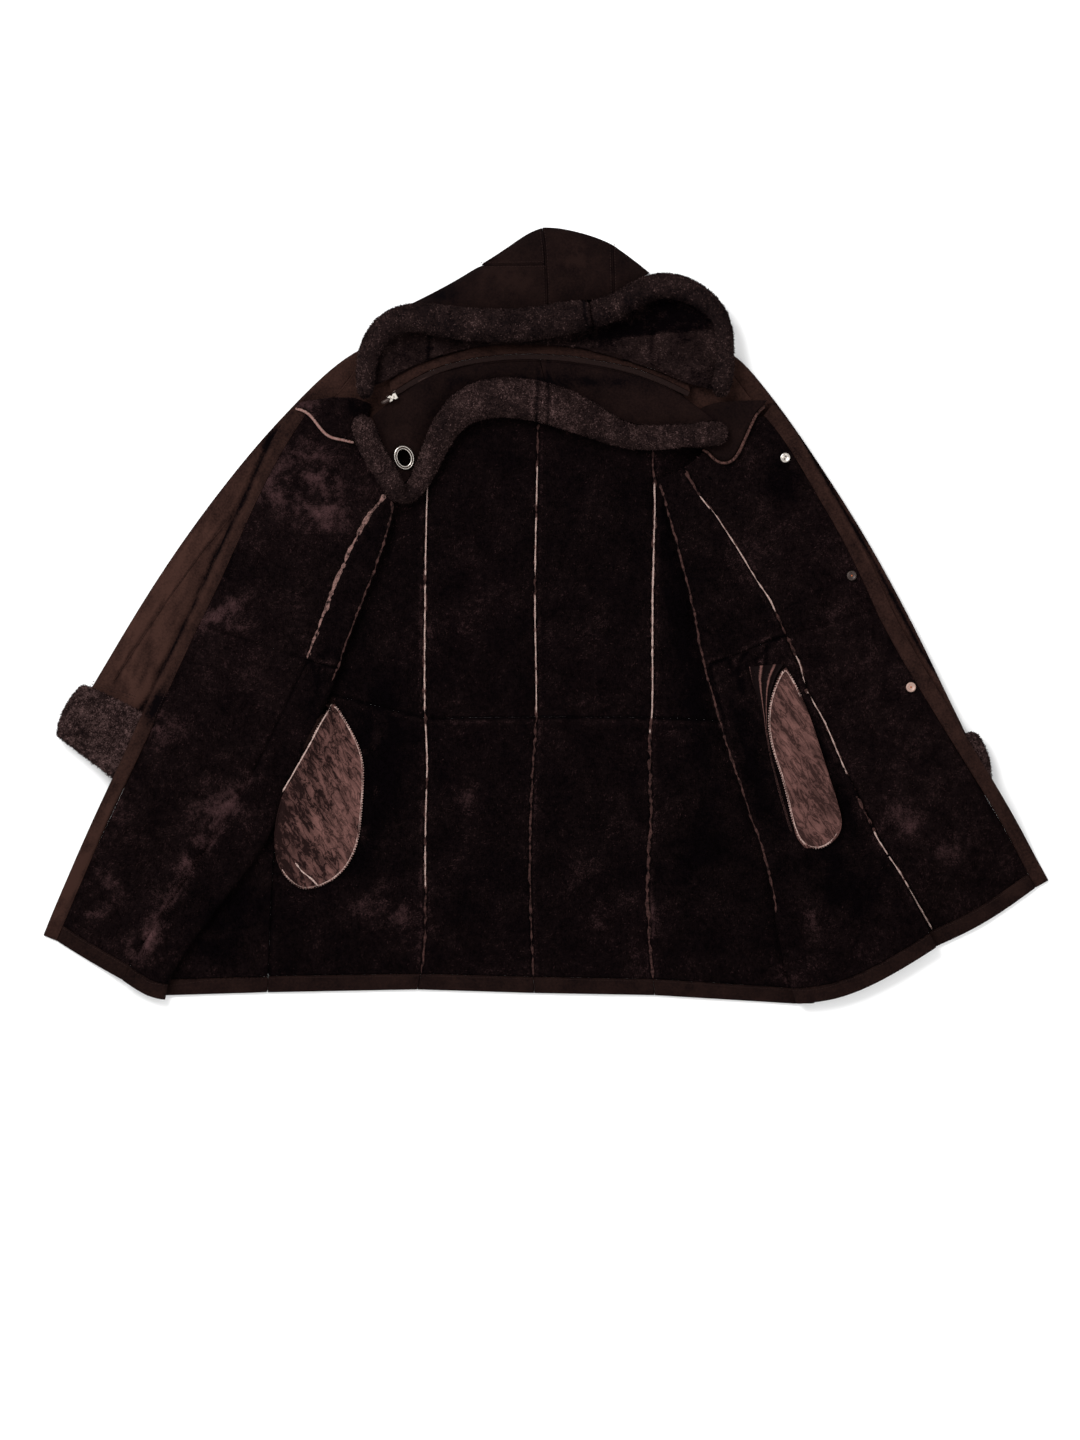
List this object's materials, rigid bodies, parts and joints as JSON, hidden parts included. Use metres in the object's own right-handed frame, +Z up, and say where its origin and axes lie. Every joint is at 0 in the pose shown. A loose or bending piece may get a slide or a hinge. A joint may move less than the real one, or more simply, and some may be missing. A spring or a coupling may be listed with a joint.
{
  "type": "sheepskin coat",
  "caption": "Hooded sheepskin coat laid open flat on its back with the wool side up: wool-lined panels, suede sleeves behind, fur-edged hood and collar, inside pocket bags.",
  "frame": {"origin": "the middle of the footprint of the whole coat, on the surface that it lies on", "axes": "+X runs to the right across the coat as seen from above, +Y from the hem towards the hood, +Z up from the surface"},
  "size_m": [1.4106, 1.0896, 0.064],
  "materials": {
    "shearling_pile": "dense short sheared wool pile, matt",
    "fur_trim": "fluffier sheared wool, matt",
    "suede": "brushed suede, matt",
    "pocket_bag": "thin skin, flesh side, dull",
    "piping": "folded thin leather edge, satin",
    "zip_tape": "woven tape and coil teeth",
    "bright_metal": "polished nickel plate",
    "dark_metal": "coated stud back, satin"
  },
  "bodies": {
    "root": {"back_centre_left_hem": "suede", "back_centre_left_lower": "shearling_pile", "back_centre_left_upper": "shearling_pile", "back_side_left_hem": "suede", "back_side_left_lower": "shearling_pile", "back_side_left_upper": "shearling_pile", "back_centre_right_hem": "suede", "back_centre_right_lower": "shearling_pile", "back_centre_right_upper": "shearling_pile", "back_side_right_hem": "suede", "back_side_right_lower": "shearling_pile", "back_side_right_upper": "shearling_pile", "sleeve_left_under": "suede", "cuff_left_under": "fur_trim", "sleeve_left_top": "suede", "cuff_left_top": "fur_trim", "sleeve_right_under": "suede", "cuff_right_under": "fur_trim", "sleeve_right_top": "suede", "cuff_right_top": "fur_trim", "yoke_left": "suede", "yoke_right": "suede", "side_left_hem": "suede", "side_left_lower": "shearling_pile", "side_left_upper": "shearling_pile", "side_right_hem": "suede", "side_right_lower": "shearling_pile", "side_right_upper": "shearling_pile", "front_left_hem": "suede", "front_left_lower": "shearling_pile", "front_left_upper": "shearling_pile", "front_left_band": "suede", "front_right_hem": "suede", "front_right_lower": "shearling_pile", "front_right_upper": "shearling_pile", "front_right_band": "suede", "lapel_left": "shearling_pile", "piping_left": "piping", "lapel_right": "suede", "piping_right": "piping", "collar_right": "suede", "collar_left": "suede", "collar_eyelet": "bright_metal", "hood_neckband": "suede", "hood_back": "shearling_pile", "hood_zip": "zip_tape", "hood_crown_left": "suede", "hood_crown_yoke": "suede", "hood_crown_centre": "suede", "hood_crown_right": "suede", "hood_rim_left": "fur_trim", "hood_rim_right": "fur_trim", "collar_roll": "fur_trim", "pocket_left": "pocket_bag", "pocket_right": "pocket_bag", "snap_1": "bright_metal", "snap_2": "dark_metal", "snap_3": "dark_metal", "zip_slider": "bright_metal"}
  },
  "joints": []
}
